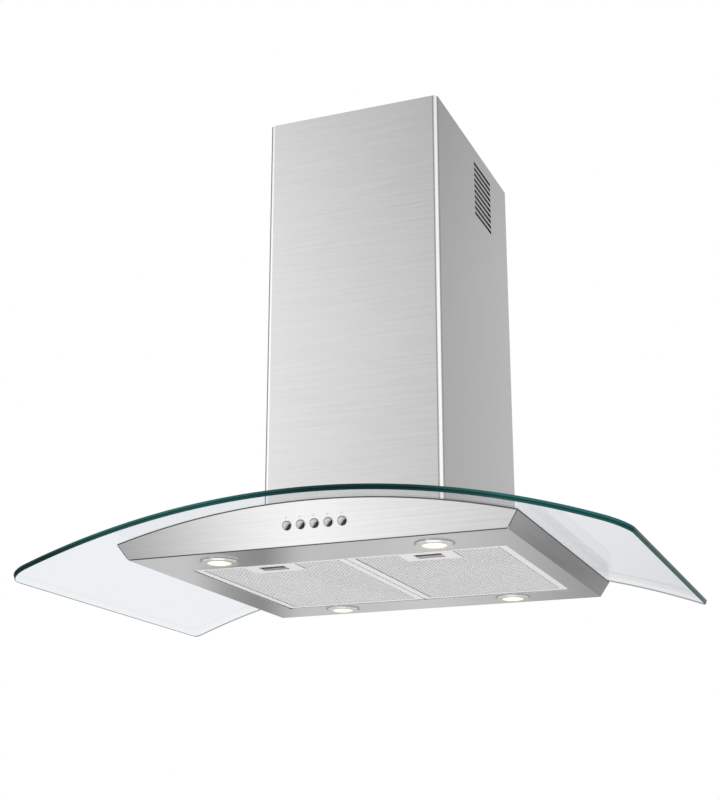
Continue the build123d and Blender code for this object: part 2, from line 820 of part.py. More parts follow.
def make_impeller():
    half = impeller_width / 2
    wheel = across_x(Circle(impeller_disc) - Circle(shaft_radius), -disc_thickness / 2, disc_thickness / 2)
    wheel += across_x(Circle(hub_radius) - Circle(shaft_radius), -hub_length, disc_thickness / 2)
    rim = Circle(impeller_radius) - Circle(impeller_radius - rim_width)
    for side in (-1, 1):
        x0 = side * half
        x1 = side * (half - rim_thickness)
        wheel += across_x(rim, min(x0, x1), max(x0, x1))
    root = (blade_root, 0)
    knee = ((blade_root + impeller_radius) / 2, blade_bow)
    tip_x = impeller_radius - blade_setback
    tip = (tip_x, blade_bow / 2)
    back = [(x, y + blade_thickness) for x, y in (tip, knee, root)]
    blade = make_face(Polyline(root, knee, tip, *back, close=True))
    ends = half - rim_thickness / 2
    for i in range(blade_count):
        wheel += across_x(Rot(0, 0, 360 * i / blade_count) * blade, -ends, ends)
    return wheel


def make_motor():
    x0 = disc_thickness / 2 + motor_gap
    motor = round_bar(motor_radius, x0, x0 + motor_length, blower_axis_y, blower_axis_z)
    motor = chamfer(motor.edges().filter_by(GeomType.CIRCLE), 4 * sheet)
    return motor - round_bar(shaft_radius + running, 0, far, blower_axis_y, blower_axis_z)


def make_shaft():
    x1 = disc_thickness / 2 + motor_gap + motor_length
    return round_bar(shaft_radius, -hub_length, x1, blower_axis_y, blower_axis_z)


def make_motor_bracket():
    half = scroll_width / 2
    ring = Circle(motor_radius + motor_ring) - Circle(motor_radius)
    reach = inlet_radius + inlet_lip + arm_overlap
    arms = Sketch()
    for i in range(motor_arms):
        length = reach - motor_radius
        arm = Pos(motor_radius + length / 2, 0) * Rectangle(length, arm_width)
        arms += Rot(0, 0, 90 + 360 * i / motor_arms) * arm
    arms -= Circle(motor_radius)
    face = half + inlet_lip
    spider = across_x(ring + arms, face, face + bracket_thickness)
    feet = arms - Circle(inlet_radius + inlet_lip + seam)
    return spider + across_x(feet, half, face)


def make_collar():
    low = blower_top
    tube = Pos(0, 0, collar_height / 2) * Cylinder(collar_radius, collar_height)
    flange = Pos(0, 0, collar_wall / 2) * Cylinder(collar_flange, collar_wall)
    collar = tube + flange - Cylinder(collar_radius - collar_wall, 4 * collar_height)
    ledge_top = flap_height - flap_thickness / 2 - seat_gap
    ledge = Cylinder(collar_radius - collar_wall / 2, ledge_height)
    ledge -= Cylinder(collar_radius - collar_wall - ledge_width, 4 * ledge_height)
    collar += Pos(0, 0, ledge_top - ledge_height / 2) * ledge
    for place in collar_screw_places():
        collar -= place * Cylinder(screw_radius + running, 4 * collar_wall)
    collar -= Pos(0, 0, flap_height) * Rot(0, 90, 0) * Cylinder(flap_pin_radius + running, 4 * collar_radius)
    return Pos(0, -collar_y, low) * collar


def collar_screw_places():
    ring = PolarLocations(collar_screw_radius, collar_screws, start_angle=45)
    return [Pos(place.position) for place in ring.locations]


def make_collar_screws():
    shank = screw(screw_head_radius, screw_head_height, screw_radius, collar_wall - running)
    seat = Pos(0, -collar_y, blower_top + collar_wall)
    return Compound([seat * place * shank for place in collar_screw_places()])


def make_flap(side):
    """A half round flap: side -1 lies in front of the pin and +1 behind it."""
    radius = collar_radius - collar_wall - flap_clearance
    plate = extrude(Circle(radius), amount=flap_thickness / 2, both=True)
    away = knuckle_radius + knuckle_gap
    plate &= Pos(0, side * (away + radius / 2), 0) * Box(2 * radius, radius, 4 * flap_thickness)
    pin = Rot(0, 90, 0) * Cylinder(flap_pin_radius + running, 4 * radius)
    count = 4
    pitch = knuckle_length + knuckle_gap
    for i in range(count):
        if (i % 2 == 0) == (side < 0):
            x = (i - (count - 1) / 2) * pitch
            plate += Pos(x, 0, 0) * Rot(0, 90, 0) * Cylinder(knuckle_radius, knuckle_length)
            web = knuckle_radius + 2 * knuckle_gap
            plate += Pos(x, side * web / 2, 0) * Box(knuckle_length, web, flap_thickness)
    return Pos(0, -collar_y, blower_top + flap_height) * (plate - pin)


def make_flap_pin():
    half = collar_radius - seam
    return round_bar(flap_pin_radius, -half, half, collar_y, blower_top + flap_height)


# ---- electrics -------------------------------------------------------------------------
def make_terminal_box():
    face = half_blower
    half_length = terminal_length / 2
    half_height = terminal_height / 2
    box = block(
        -face - terminal_depth,
        -face,
        terminal_y + half_length,
        terminal_y - half_length,
        terminal_z - half_height,
        terminal_z + half_height,
    )
    box = fillet(box.edges().filter_by(Axis.X), 3 * sheet)
    return chamfer(box.faces().sort_by(Axis.X)[0].edges(), sheet)


def make_gland():
    x = -half_blower - terminal_depth / 2
    low = terminal_z + terminal_height / 2
    nut = extrude(RegularPolygon(gland_radius, 6), amount=gland_height / 2)
    cap = Pos(0, 0, gland_height * 0.75) * Cylinder(0.8 * gland_radius, gland_height / 2)
    cap = chamfer(cap.edges().group_by(Axis.Z)[-1], sheet)
    gland = nut + cap - Cylinder(gland_bore, 4 * gland_height)
    return Pos(x, -terminal_y, low) * gland


def make_capacitor():
    rear = blower_front - sheet
    front = rear - 2 * capacitor_radius
    can = Cylinder(capacitor_radius, capacitor_length)
    can = chamfer(can.edges().filter_by(GeomType.CIRCLE), 2 * sheet)
    return Pos(half_blower - capacitor_inset, -(rear + front) / 2, capacitor_z) * can


def make_transformer():
    half_width = transformer_width / 2
    half_depth = transformer_depth / 2
    middle = body_depth - transformer_inset
    left = transformer_x - half_width
    right = transformer_x + half_width
    top = sheet + transformer_height
    box = block(left, right, middle + half_depth, middle - half_depth, sheet, top)
    return chamfer(box.edges().filter_by(Axis.Z) + box.faces().sort_by(Axis.Z)[-1].edges(), 2 * sheet)


# ---- all pieces ------------------------------------------------------------------------
pieces["canopy_glass"] = make_glass()
pieces["glass_gasket"] = make_gasket()
pieces["glass_bolts"] = Compound([place * make_bolt() for place in bolt_places()])
pieces["glass_grommets"] = Compound([place * make_grommet() for place in bolt_places()])
pieces["front_panel"] = make_front_panel()
pieces["bottom_pan"] = make_bottom_pan()
pieces["side_panel_left"] = make_side_panel(-1)
pieces["side_panel_right"] = make_side_panel(1)
pieces["back_panel"] = make_back_panel()
pieces["top_plate"] = make_top_plate()

pieces["switch_housing"] = make_switch_housing()
pieces["button_bezels"] = Compound([place * make_bezel() for place in button_places()])
for number, place in enumerate(button_places(), start=1):
    pieces[f"button_{number}"] = place * make_button()

for corner, (x, y) in lamp_places().items():
    pieces[f"lamp_ring_{corner}"] = Pos(x, -y, 0) * make_lamp_bezel()
    pieces[f"lamp_lens_{corner}"] = Pos(x, -y, 0) * make_lamp_lens()
    pieces[f"lamp_cup_{corner}"] = Pos(x, -y, 0) * make_lamp_cup()
pieces["lamp_bulbs"] = Compound([Pos(x, -y, 0) * make_bulb() for x, y in lamp_places().values()])

for side_name, side in (("left", -1), ("right", 1)):
    for name, maker in (
        ("filter_frame", make_filter_frame),
        ("filter_mesh", make_filter_mesh),
        ("latch_plate", make_latch_plate),
        ("filter_latch", make_latch),
    ):
        piece = maker()
        piece = piece if side > 0 else mirror(piece, Plane.YZ)
        pieces[f"{name}_{side_name}"] = Pos(filter_shift, 0, 0) * piece

pieces["chimney_cover"] = make_chimney_cover()
pieces["inner_cover"] = make_inner_cover()
pieces["cover_bracket"] = make_cover_bracket()
pieces["cover_screws"] = make_cover_screws()
pieces["ceiling_bracket"] = make_ceiling_bracket()
pieces["bracket_screws"] = make_bracket_screws()

pieces["blower_box"] = make_blower_box()
pieces["hanging_plate"] = make_hanging_plate()
pieces["volute"] = make_volute()
pieces["impeller"] = make_impeller()
pieces["motor"] = make_motor()
pieces["motor_shaft"] = make_shaft()
pieces["motor_bracket"] = make_motor_bracket()
pieces["outlet_collar"] = make_collar()
pieces["collar_screws"] = make_collar_screws()
pieces["damper_flap_front"] = make_flap(-1)
pieces["damper_flap_rear"] = make_flap(1)
pieces["damper_pin"] = make_flap_pin()

pieces["terminal_box"] = make_terminal_box()
pieces["cable_gland"] = make_gland()
pieces["capacitor"] = make_capacitor()
pieces["lamp_transformer"] = make_transformer()

os.makedirs("parts", exist_ok=True)
for name, piece in pieces.items():
    export_step(Pos(0, 0, -datum_height) * piece, f"parts/{name}.step")
print(len(pieces), "pieces")
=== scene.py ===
import math

import bmesh
import bpy
import numpy as np
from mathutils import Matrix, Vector


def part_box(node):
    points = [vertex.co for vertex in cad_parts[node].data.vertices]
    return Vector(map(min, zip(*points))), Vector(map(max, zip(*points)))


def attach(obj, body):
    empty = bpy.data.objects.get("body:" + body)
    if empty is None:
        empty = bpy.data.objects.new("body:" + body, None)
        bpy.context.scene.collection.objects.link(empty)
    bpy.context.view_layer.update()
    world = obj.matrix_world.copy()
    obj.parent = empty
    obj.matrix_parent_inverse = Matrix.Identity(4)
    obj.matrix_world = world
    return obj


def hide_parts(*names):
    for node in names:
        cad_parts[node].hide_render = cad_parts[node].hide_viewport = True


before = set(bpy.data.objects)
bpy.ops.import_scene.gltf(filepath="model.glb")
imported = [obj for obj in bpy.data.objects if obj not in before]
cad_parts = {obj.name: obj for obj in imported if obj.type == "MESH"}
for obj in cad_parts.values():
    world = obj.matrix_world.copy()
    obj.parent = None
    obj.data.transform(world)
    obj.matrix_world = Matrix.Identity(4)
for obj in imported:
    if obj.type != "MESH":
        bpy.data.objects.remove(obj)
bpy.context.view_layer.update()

# A wall hood with a curved glass canopy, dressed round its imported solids.
# Shapes are worked out in millimetres with z = 0 on the underside, as in the part's source,
# and inFrame() carries them into the frame's metres.

body = {
    "datumHeight": 28.0, "depth": 533.0, "half": 280.0, "seam": 0.3,
    "frontLean": math.radians(16.0), "sideLean": math.radians(35.0),
}
print("frame loaded")

scene = bpy.context.scene
scene.view_settings.view_transform = "Standard"

camera = {
    "place": (0.7950, -2.3527, -0.4560), "yaw": 0.3768, "pitch": 0.3096,
    "focalPixels": 1489.1, "longSide": 800,
}
cameraData = bpy.data.cameras.new("camera")
cameraData.lens = camera["focalPixels"] * cameraData.sensor_width / camera["longSide"]
cameraObject = bpy.data.objects.new("camera", cameraData)
cameraObject.location = camera["place"]
cameraObject.rotation_euler = (math.pi / 2 + camera["pitch"], 0, camera["yaw"])
scene.collection.objects.link(cameraObject)
scene.camera = cameraObject


def inFrame(points):
    # Millimetres above the underside become metres in the frame: (x, y, z - datum) / 1000.
    return (np.asarray(points, float) - (0, 0, body["datumHeight"])) / 1000


def boxOf(nodeName):
    # A node's box in millimetres above the underside, as two corners.
    return [np.array(corner) * 1000 + (0, 0, body["datumHeight"]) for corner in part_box(nodeName)]


def gridFaces(index):
    # Cell (j, i) of an index grid is the four corners taken anticlockwise from its lowest one.
    cells = np.stack([index[:-1, :-1], index[:-1, 1:], index[1:, 1:], index[1:, :-1]], axis=-1)
    return cells.reshape(-1, 4)


def ringFaces(index):
    # The same for rows that close on themselves: the first column comes again after the last.
    return gridFaces(np.concatenate([index, index[:, :1]], axis=1))


meshing = {"mergeWithin": 1e-6, "sharpAngle": math.radians(35)}  # metres and radians


def makePiece(name, points, faces, rides, materials, faceMaterials=None, uv=None):
    # Points in millimetres and faces of four corners become one object, with its doubles merged.
    mesh = bpy.data.meshes.new(name)
    mesh.from_pydata(inFrame(points).tolist(), [], faces.tolist())
    if faceMaterials is not None:
        mesh.polygons.foreach_set("material_index", faceMaterials.astype(np.int32))
    if uv is not None:
        layer = mesh.uv_layers.new(name="across")
        layer.uv.foreach_set("vector", uv[faces.ravel()].astype(np.float32).ravel())
    mesh.polygons.foreach_set("use_smooth", np.ones(len(faces), bool))
    cleaner = bmesh.new()
    cleaner.from_mesh(mesh)
    bmesh.ops.remove_doubles(cleaner, verts=cleaner.verts, dist=meshing["mergeWithin"])
    cleaner.to_mesh(mesh)
    cleaner.free()
    mesh.set_sharp_from_angle(angle=meshing["sharpAngle"])
    for material in materials:
        mesh.materials.append(material)
    piece = bpy.data.objects.new(name, mesh)
    scene.collection.objects.link(piece)
    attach(piece, rides)
    return piece


def lathe(profile, sides):
    # A profile of (radius, height) turned round the z axis: (r cos a, r sin a, h).
    # It goes up on the outside, so that the faces look outwards.
    profile = np.asarray(profile, float)
    angle = np.linspace(0, 2 * math.pi, sides, endpoint=False)
    x = profile[:, :1] * np.cos(angle)
    y = profile[:, :1] * np.sin(angle)
    z = np.repeat(profile[:, 1:], sides, axis=1)
    points = np.stack([x, y, z], axis=-1).reshape(-1, 3)
    return points, ringFaces(np.arange(len(points)).reshape(len(profile), sides))


def startMaterial(name):
    material = bpy.data.materials.new(name)
    material.use_nodes = True
    tree = material.node_tree
    return material, tree, tree.nodes["Principled BSDF"]


def addNode(tree, kind, settings=None, values=None):
    node = tree.nodes.new("ShaderNode" + kind)
    for key, value in (settings or {}).items():
        setattr(node, key, value)
    for key, value in (values or {}).items():
        node.inputs[key].default_value = value
    return node


def joined(tree, node, *values):
    # Each value, a number or another node's output, goes to the node's next socket.
    for socket, value in zip(node.inputs, values):
        if isinstance(value, bpy.types.NodeSocket):
            tree.links.new(value, socket)
        elif value is not None:
            socket.default_value = value
    return node.outputs[0]


def mathOf(tree, operation, first, second=None):
    return joined(tree, addNode(tree, "Math", {"operation": operation}), first, second)


def vectorOf(tree, operation, first, second=None):
    return joined(tree, addNode(tree, "VectorMath", {"operation": operation}), first, second)


def weighted(tree, *pairs):
    # The sum of each value times its weight.
    total = 0.0
    for value, weight in pairs:
        step = addNode(tree, "Math", {"operation": "MULTIPLY_ADD"})
        total = joined(tree, step, value, weight, total)
    return total


def triple(value):
    # One number stands for three alike: a grey, or the same scale along each axis.
    return value if isinstance(value, tuple) else (value, value, value)


def coordinate(tree, kind):
    return addNode(tree, "TexCoord").outputs[kind]


def axesOf(tree, vector):
    parts = addNode(tree, "SeparateXYZ")
    tree.links.new(vector, parts.inputs[0])
    return parts.outputs


def objectPlace(tree, scale=1):
    mapping = addNode(tree, "Mapping", None, {"Scale": triple(scale)})
    tree.links.new(coordinate(tree, "Object"), mapping.inputs["Vector"])
    return mapping.outputs["Vector"]


def noiseOf(tree, scale, detail=2.0, roughness=0.5):
    noise = addNode(tree, "TexNoise", None, {"Scale": 1.0, "Detail": detail, "Roughness": roughness})
    tree.links.new(objectPlace(tree, scale), noise.inputs["Vector"])
    return noise.outputs["Fac"]


def ranged(tree, value, low, high, fromLow=0.3, fromHigh=0.7):
    # From low to high while the value goes over its range, which is a noise's middle if none is given.
    span = addNode(tree, "MapRange", None, {
        "From Min": fromLow, "From Max": fromHigh, "To Min": low, "To Max": high,
    })
    tree.links.new(value, span.inputs["Value"])
    return span.outputs["Result"]


def tones(tree, value, stops):
    # A ramp of (place, tone) stops, where a tone is a grey level or (red, green, blue).
    ramp = addNode(tree, "ValToRGB")
    elements = ramp.color_ramp.elements
    while len(elements) < len(stops):
        elements.new(0.5)
    for element, (place, tone) in zip(elements, stops):
        element.position = place
        element.color = (*triple(tone), 1)
    tree.links.new(value, ramp.inputs["Fac"])
    return ramp.outputs["Color"]


def darkToPale(tree, value, finish, low=0.3, high=0.7):
    return tones(tree, value, [(low, finish["dark"]), (high, finish["pale"])])


def covered(tree, share, below, above):
    # The colour below where share is 0, and the one above where it is 1.
    cover = addNode(tree, "Mix", {"data_type": "RGBA"})
    for name, value in (("Factor", share), ("A", below), ("B", above)):
        if isinstance(value, bpy.types.NodeSocket):
            tree.links.new(value, cover.inputs[name])
        else:
            cover.inputs[name].default_value = (*triple(value), 1)
    return cover.outputs["Result"]


def coated(tree, surface, finish, colour, grain, metallic=0.0):
    # The roughness follows the grain; how metallic it is stays the same all over.
    tree.links.new(colour, surface.inputs["Base Color"])
    tree.links.new(ranged(tree, grain, *finish["roughness"]), surface.inputs["Roughness"])
    surface.inputs["Metallic"].default_value = finish.get("metallic", metallic)


def bumped(tree, surface, height, strength, distance):
    bump = addNode(tree, "Bump", None, {"Strength": strength, "Distance": distance})
    tree.links.new(height, bump.inputs["Height"])
    tree.links.new(bump.outputs["Normal"], surface.inputs["Normal"])


def insideBox(tree, low, high):
    # 1 where the largest of |place - middle| / half size is under 1, and 0 outside the box.
    low, high = inFrame(low), inFrame(high)
    shifted = vectorOf(tree, "SUBTRACT", objectPlace(tree), (low + high) / 2)
    scaled = vectorOf(tree, "MULTIPLY", vectorOf(tree, "ABSOLUTE", shifted), 2 / (high - low))
    x, y, z = axesOf(tree, scaled)
    furthest = mathOf(tree, "MAXIMUM", mathOf(tree, "MAXIMUM", x, y), z)
    return mathOf(tree, "LESS_THAN", furthest, 1.0)


def panelPlace(tree):
    # A point's x and its height up the leaning front panel, in metres:
    # h = (z - foot) cos lean - (y - foot) sin lean.
    rise, fall = math.cos(body["frontLean"]), math.sin(body["frontLean"])
    x, y, z = axesOf(tree, objectPlace(tree))
    foot = inFrame((0, -body["depth"], 0))
    return x, weighted(tree, (z, rise), (y, -fall), (fall * foot[1] - rise * foot[2], 1.0))


def panelSeamShade(tree, outline):
    # 1 on a line of painted shade along the panel's lower and slanting edges, where the seam's gap is, by the
    # height up the panel h and by |x| - half - widen h, each of which fades out over a share of the line's
    # width.
    x, height = panelPlace(tree)
    widen = math.tan(body["sideLean"]) * math.cos(body["frontLean"])
    sideways = mathOf(tree, "ABSOLUTE", x)
    beyond = weighted(tree, (sideways, 1.0), (height, -widen), (-body["half"] / 1000, 1.0))
    lowFade = [(body["seam"] + share * outline["width"]) / 1000 for share in outline["lowFade"]]
    sideFade = [-share * outline["width"] / 1000 for share in outline["sideFade"]]
    low = ranged(tree, height, 1, 0, *lowFade)
    side = ranged(tree, beyond, 0, 1, *sideFade)
    return mathOf(tree, "MAXIMUM", low, side)


brush = {
    "detail": 3.0, "noiseRoughness": 0.6, "streakShare": 0.75, "cloud": 5, "cloudShare": 0.25,
    "sideFacing": 0.7, "depth": 0.0003,
}


def streaksOf(tree, scale):
    return noiseOf(tree, scale, brush["detail"], brush["noiseRoughness"])


def brushedSteel(name, finish):
    # Long thin streaks along one axis, in colour, roughness and height.
    material, tree, surface = startMaterial(name)
    along, across = finish["streak"]
    scales = {axis: tuple(along if axis == other else across for other in "xyz") for axis in "xyz"}
    streaks = streaksOf(tree, scales[finish["along"]])
    if "sideAlong" in finish:  # faces that look along x are brushed another way
        sideStreaks = streaksOf(tree, scales[finish["sideAlong"]])
        facing = mathOf(tree, "ABSOLUTE", axesOf(tree, coordinate(tree, "Normal"))["X"])
        isSide = mathOf(tree, "GREATER_THAN", facing, brush["sideFacing"])
        streaks = joined(tree, addNode(tree, "Mix"), isSide, None, streaks, sideStreaks)
    cloud = noiseOf(tree, brush["cloud"])
    mixed = weighted(tree, (streaks, brush["streakShare"]), (cloud, brush["cloudShare"]))
    colour = darkToPale(tree, mixed, finish)
    if "screen" in finish:  # painted shade: black behind the slots, in this box
        box, tone = finish["screen"]
        colour = covered(tree, insideBox(tree, *box), colour, tone)
    if "outline" in finish:  # painted shade: a dark line in the seam along the folded edges of the front panel
        colour = covered(tree, panelSeamShade(tree, finish["outline"]), colour, finish["outline"]["tone"])
    coated(tree, surface, finish, colour, mixed, metallic=1.0)
    bumped(tree, surface, streaks, finish["bump"], brush["depth"])
    return material


casting = {"grainShare": 0.5, "cloud": 9, "cloudShare": 0.5, "bump": 0.1, "depth": 0.0002}


def grainy(name, finish):
    # Cast, moulded or painted surfaces: a fine grain over a slow change of tone.
    material, tree, surface = startMaterial(name)
    grain = noiseOf(tree, finish["grain"])
    cloud = noiseOf(tree, casting["cloud"])
    mixed = weighted(tree, (grain, casting["grainShare"]), (cloud, casting["cloudShare"]))
    colour = darkToPale(tree, mixed, finish)
    if "lit" in finish:  # in shadow outside this box
        box, tone = finish["lit"]
        colour = covered(tree, insideBox(tree, *box), tone, colour)
    coated(tree, surface, finish, colour, mixed)
    bumped(tree, surface, grain, finish.get("bump", casting["bump"]), casting["depth"])
    return material


def spangled(name, finish):
    # Zinc crystals: flat patches of slightly different tone and gloss.
    material, tree, surface = startMaterial(name)
    cells = addNode(tree, "TexVoronoi", {"feature": "F1"}, {"Scale": 1.0, "Randomness": 1.0})
    tree.links.new(objectPlace(tree, finish["spangle"]), cells.inputs["Vector"])
    patch = addNode(tree, "SeparateColor")
    tree.links.new(cells.outputs["Color"], patch.inputs[0])
    tree.links.new(darkToPale(tree, patch.outputs[0], finish, 0.0, 1.0), surface.inputs["Base Color"])
    tree.links.new(ranged(tree, patch.outputs[1], *finish["roughness"], 0, 1), surface.inputs["Roughness"])
    surface.inputs["Metallic"].default_value = finish["metallic"]
    bumped(tree, surface, patch.outputs[2], finish["bump"], finish["depth"])
    return material


bodyBrush = {
    "along": "x", "streak": (8, 340), "dark": 0.585, "pale": 0.655, "roughness": (0.11, 0.13), "bump": 0.003,
}
# painted shade: the dark line in the seams along the front panel's edges
panelSeamShadeLine = {"width": 1.0, "tone": 0.13, "lowFade": (0.6, 1.2), "sideFade": (1.6, 0.8)}
panelSteel = brushedSteel("brushedPanelSteel", {**bodyBrush, "outline": panelSeamShadeLine})
panSteel = brushedSteel("brushedUndersideSteel", {**bodyBrush, "roughness": (0.12, 0.14)})
sideSteel = brushedSteel("brushedSideSteel", {**bodyBrush, "along": "y"})

# the painted shade behind the slots lies on the inside of the inner cover
innerLow, innerHigh = boxOf("inner_cover")
screen = {"wall": 0.8, "front": -194.0, "rear": -88.0, "drop": 124.2, "top": 14.7, "tone": 0.004}
slotShadeBox = (
    (innerLow[0] + screen["wall"], screen["front"], innerHigh[2] - screen["drop"]),
    (innerHigh[0] - screen["wall"], screen["rear"], innerHigh[2] - screen["top"]),
)
chimneyBrush = {
    "along": "x", "sideAlong": "z", "streak": (9, 350), "dark": 0.596, "pale": 0.644,
    "roughness": (0.175, 0.205), "bump": 0.002,
}
chimneySteel = brushedSteel("brushedChimneySteel", chimneyBrush)
innerSteel = brushedSteel("brushedInnerCoverSteel", {**chimneyBrush, "screen": (slotShadeBox, screen["tone"])})

frameAluminium = brushedSteel("satinFrameAluminium", {
    "along": "x", "streak": (8, 900), "dark": 0.93, "pale": 0.97, "roughness": (0.34, 0.46),
    "bump": 0.03, "metallic": 0.15,
})
latchSteel = brushedSteel("brightLatchSteel", {
    "along": "x", "streak": (6, 900), "dark": 0.50, "pale": 0.58, "roughness": (0.2, 0.3),
    "bump": 0.03, "metallic": 0.8,
})
ringSteel = brushedSteel("turnedRingSteel", {
    "along": "x", "streak": (20, 600), "dark": 0.62, "pale": 0.72, "roughness": (0.18, 0.26),
    "bump": 0.02, "metallic": 0.9,
})
brightSteel = brushedSteel("plainBrightSteel", {
    "along": "z", "streak": (60, 700), "dark": 0.6, "pale": 0.78, "roughness": (0.2, 0.35), "bump": 0.05,
})
galvanised = spangled("galvanisedSheet", {
    "spangle": 110, "dark": (0.5, 0.52, 0.54), "pale": (0.68, 0.7, 0.72), "roughness": (0.28, 0.5),
    "metallic": 0.9, "bump": 0.05, "depth": 0.0003,
})
gasketRubber = grainy("gasketRubber", {"grain": 900, "dark": 0.07, "pale": 0.11, "roughness": (0.5, 0.7)})
blackPlastic = grainy("blackPlastic", {"grain": 1400, "dark": 0.012, "pale": 0.028, "roughness": (0.3, 0.45)})
greyPlastic = grainy("greyPlastic", {"grain": 1200, "dark": 0.2, "pale": 0.27, "roughness": (0.35, 0.5)})
whitePlastic = grainy("whitePlastic", {"grain": 1200, "dark": 0.72, "pale": 0.82, "roughness": (0.35, 0.5)})
motorPaint = grainy("motorPaint", {
    "grain": 700, "dark": 0.16, "pale": 0.25, "roughness": (0.35, 0.5), "bump": 0.15,
})
print("finishes made")


def seeThrough(tree, share, surface, tint):
    # The surface where share is 0, and clear tinted glass where it is 1.
    clear = addNode(tree, "BsdfTransparent")
    if isinstance(tint, bpy.types.NodeSocket):
        tree.links.new(tint, clear.inputs["Color"])
    else:
        clear.inputs["Color"].default_value = (*tint, 1)
    join = joined(tree, addNode(tree, "MixShader"), share, surface.outputs[0], clear.outputs[0])
    tree.links.new(join, tree.nodes["Material Output"].inputs["Surface"])


def clearGlass(name, finish):
    # Light goes straight through, tinted. The mirrored share grows from normal to grazing:
    # share = low + (1 - low) * facing ^ power.
    material, tree, surface = startMaterial(name)
    tree.nodes.remove(surface)
    smear = noiseOf(tree, finish["smear"])
    tint = darkToPale(tree, smear, finish)
    mirror = addNode(tree, "BsdfGlossy", None, {"Color": (1, 1, 1, 1)})
    tree.links.new(ranged(tree, smear, *finish["roughness"]), mirror.inputs["Roughness"])
    facing = addNode(tree, "LayerWeight", None, {"Blend": 0.5}).outputs["Facing"]
    grazing = mathOf(tree, "POWER", facing, finish["power"])
    seeThrough(tree, ranged(tree, grazing, 1 - finish["mirrored"], 0.0, 0, 1), mirror, tint)
    return material


def edgeGlass(name, finish):
    # Polished edge whose depth of colour comes and goes in slow waves along the arc. From inside
    # the sheet it is nearly clear, but for the bevel, which draws the thin dark line that the
    # sheet's lower edge has from most sides.
    material, tree, surface = startMaterial(name)
    x = axesOf(tree, objectPlace(tree))["X"]
    turn = weighted(tree, (x, 2 * math.pi / finish["wave"]), (finish["start"], 1.0))
    wave = mathOf(tree, "SINE", turn)
    cloud = noiseOf(tree, finish["cloud"])
    mixed = weighted(
        tree, (wave, finish["waveShare"]), (cloud, finish["cloudShare"]), (finish["middle"], 1.0)
    )
    coated(tree, surface, finish, darkToPale(tree, mixed, finish, 0.25, 0.75), mixed)
    surface.inputs["Specular IOR Level"].default_value = finish["specular"]
    inside = addNode(tree, "NewGeometry").outputs["Backfacing"]
    seeThrough(tree, inside, surface, finish["inside"])
    return material


edgeWave = {
    "wave": 0.525, "start": 3.7, "waveShare": 0.3, "cloud": (9, 30, 30), "cloudShare": 0.6, "middle": 0.2,
    "roughness": (0.1, 0.2),
}
glassFinishes = {
    "face": clearGlass("canopyGlass", {
        "dark": (0.922, 0.934, 0.946), "pale": (0.930, 0.942, 0.954), "roughness": (0.02, 0.03),
        "mirrored": 0.04, "power": 12.0, "smear": 4,
    }),
    "deep": edgeGlass("glassEdgeDeep", {
        **edgeWave, "dark": (0.002, 0.017, 0.018), "pale": (0.007, 0.062, 0.060), "specular": 0.04,
        "inside": (0.94, 0.95, 0.955),
    }),
    "bevel": edgeGlass("glassEdgeBevel", {
        **edgeWave, "dark": (0.005, 0.034, 0.034), "pale": (0.016, 0.105, 0.1), "specular": 0.06,
        "inside": (0.3, 0.33, 0.34),
    }),
    # the upper strips of the edge: the glass's own teal, made paler by a painted highlight along the upper
    # chamfer
    "pale": edgeGlass("glassEdgeHighlight", {
        **edgeWave, "dark": (0.008, 0.036, 0.038), "pale": (0.036, 0.140, 0.136), "specular": 0.12,
        "inside": (0.94, 0.95, 0.955),
    }),
}
glass = {
    "width": 900.0, "depth": 588.0, "thickness": 8.0, "radius": 1217.0, "archRise": 60.0,
    "frontCorner": 35.0, "rearCorner": 11.0, "halfNotch": 115.0, "notchDepth": 324.0,
    "notchCorner": 8.0, "bevel": 1.0, "lineTo": 2.4, "highlightFrom": 4.6,
    "strips": ("bevel", "bevel", "deep", "pale", "pale"),  # round the edge, from the lower face up; the upper pale strips carry a painted highlight
    "cornerSteps": 14, "middleSteps": 12, "sideSteps": 22, "rows": 6,
}


def glassPlan(inset):
    # Columns of one half, as distances along the arc from the middle: plain steps to the notch's
    # corner, c + r sin a round that corner, plain steps to the front corner and round it again.
    # Each column's front end is straight or lies on the front corner's circle. Its middle lies on
    # the notch's edge or, beside the notch, on one straight line; its rear end is likewise.
    outer = glass["radius"] + glass["thickness"]
    reach = outer * math.asin(glass["width"] / 2 / outer)
    quarter = np.linspace(0, math.pi / 2, glass["cornerSteps"])
    notchSide = glass["halfNotch"] - glass["notchCorner"]
    notchRadius = glass["notchCorner"] + inset
    cornerRadius = glass["frontCorner"] - inset
    middle = np.linspace(0, notchSide, glass["middleSteps"])[:-1]
    notchArc = notchSide + notchRadius * np.sin(quarter)
    cornerArc = reach - glass["frontCorner"] + cornerRadius * np.sin(quarter)
    beside = np.linspace(notchArc[-1], cornerArc[0], glass["sideSteps"])[1:-1]
    s = np.concatenate([middle, notchArc, beside, cornerArc])
    front = np.full(len(s), -glass["depth"] + inset)
    front[-len(quarter):] = -glass["depth"] + glass["frontCorner"] - cornerRadius * np.cos(quarter)
    line = -glass["notchDepth"] + glass["notchCorner"]
    split = len(middle) + len(notchArc) - 1
    middleEnd = np.full(len(s), line)
    middleEnd[:len(middle)] = line - notchRadius
    middleEnd[len(middle):split + 1] = line - notchRadius * np.cos(quarter)
    past = np.clip(s - (reach - glass["rearCorner"]), 0, glass["rearCorner"] - inset)
    rear = -glass["rearCorner"] + np.sqrt((glass["rearCorner"] - inset) ** 2 - past**2)
    whole = [np.concatenate([sign * half[:0:-1], half]) for half, sign in (
        (s, -1), (front, 1), (middleEnd, 1), (rear, 1)
    )]
    return *whole, split


